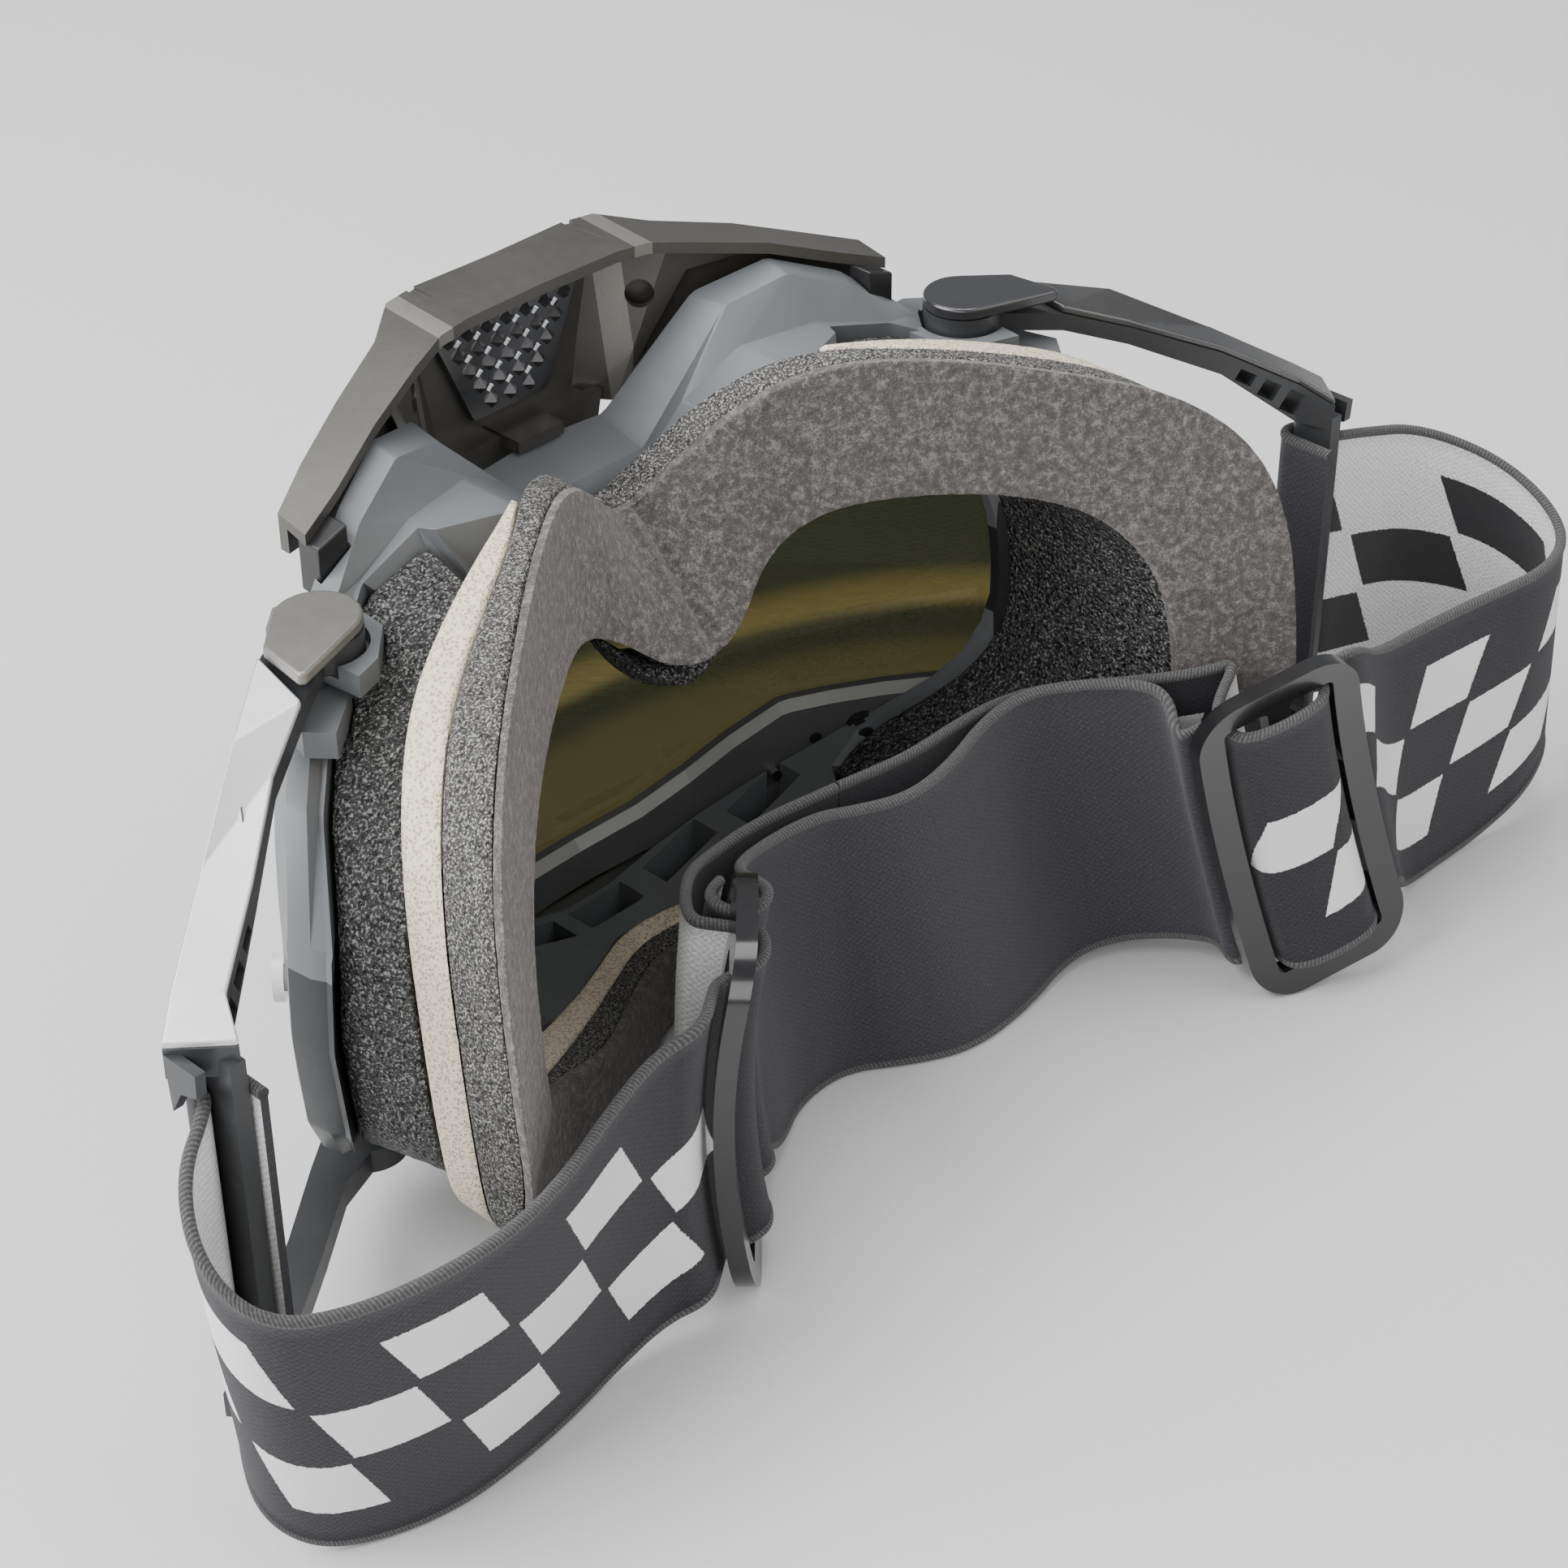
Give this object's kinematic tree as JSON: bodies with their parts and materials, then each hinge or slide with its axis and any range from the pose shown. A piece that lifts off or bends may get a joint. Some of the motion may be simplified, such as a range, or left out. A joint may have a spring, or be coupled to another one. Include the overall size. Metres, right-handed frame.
{
  "type": "motocross goggles",
  "caption": "Riding goggles with cylindrical tinted lens, layered face foam, hinged outriggers, nose guard and an adjustable elastic head strap.",
  "frame": {"origin": "middle of the flat rest on the brow of the frame, on the plane of symmetry of the frame", "axes": "+X across the face to the right as the open eye side is seen, +Y out through the lens, +Z from the brow to the nose; the goggles stand on their brow, upside down, as on a table"},
  "size_m": [0.2436, 0.0994, 0.1075],
  "materials": {
    "frame_plastic": "satin",
    "carrier_plastic": "satin",
    "tinted_lens": "smooth, graded tint",
    "clear_plastic": "smooth",
    "black_plastic": "satin",
    "guard_plastic": "satin, metallic flake",
    "vent_foam": "open-cell foam",
    "beige_foam": "fine-cell foam",
    "grey_foam": "speckled foam",
    "fleece": "short pile",
    "rubber_pad": "soft",
    "pin_steel": "turned",
    "outrigger_plastic": "satin",
    "cap_plastic": "glossy",
    "silver_paint": "silver lacquer on plastic",
    "cover_plastic": "semi-gloss",
    "webbing": "ribbed elastic webbing"
  },
  "bodies": {
    "goggles": {"frame": "frame_plastic", "lens_carrier": "carrier_plastic", "lens": "tinted_lens", "tear_off_posts": "clear_plastic", "carrier_snaps": "black_plastic", "vent_foam_left": "vent_foam", "vent_foam_right": "vent_foam", "vent_foam_brow": "vent_foam", "foam_beige": "beige_foam", "foam_grey": "grey_foam", "face_fleece": "fleece", "nose_pad": "rubber_pad", "pivot_pins": "pin_steel", "strap_left": "webbing", "strap_middle": "webbing", "strap_right": "webbing"},
    "outrigger_left": {"outrigger_left": "outrigger_plastic", "outrigger_cap_left": "cap_plastic", "arm_cover_left": "silver_paint", "strap_loop_left": "webbing"},
    "outrigger_right": {"outrigger_right": "outrigger_plastic", "outrigger_cap_right": "cap_plastic", "arm_cover_right": "cover_plastic", "strap_loop_right": "webbing"},
    "nose_guard": {"nose_guard": "guard_plastic", "guard_mesh": "black_plastic", "guard_clips": "black_plastic"},
    "slider_left": {"slider_left": "black_plastic"},
    "slider_right": {"slider_right": "black_plastic"}
  },
  "joints": [
    {"name": "outrigger_left_hinge", "type": "hinge", "parent": "goggles", "child": "outrigger_left", "pos_m": [-0.057, -0.02, 0.05], "axis": [0, 0, -1], "range_deg": [0, 12], "deforming": ["strap_left"]},
    {"name": "outrigger_right_hinge", "type": "hinge", "parent": "goggles", "child": "outrigger_right", "pos_m": [0.057, -0.02, 0.05], "axis": [0, 0, 1], "range_deg": [0, 12], "deforming": ["strap_right"]},
    {"name": "nose_guard_release", "type": "slide", "parent": "goggles", "child": "nose_guard", "axis": [0, 0, 1], "range_m": [0, 0.03]},
    {"name": "slider_left_shift", "type": "slide", "parent": "goggles", "child": "slider_left", "axis": [-0.7193, -0.6947, 0], "range_m": [0, 0.006], "deforming": ["strap_left", "strap_middle"]},
    {"name": "slider_right_shift", "type": "slide", "parent": "goggles", "child": "slider_right", "axis": [0.8848, -0.3756, 0.2756], "range_m": [0, 0.006], "deforming": ["strap_right", "strap_middle"]}
  ]
}
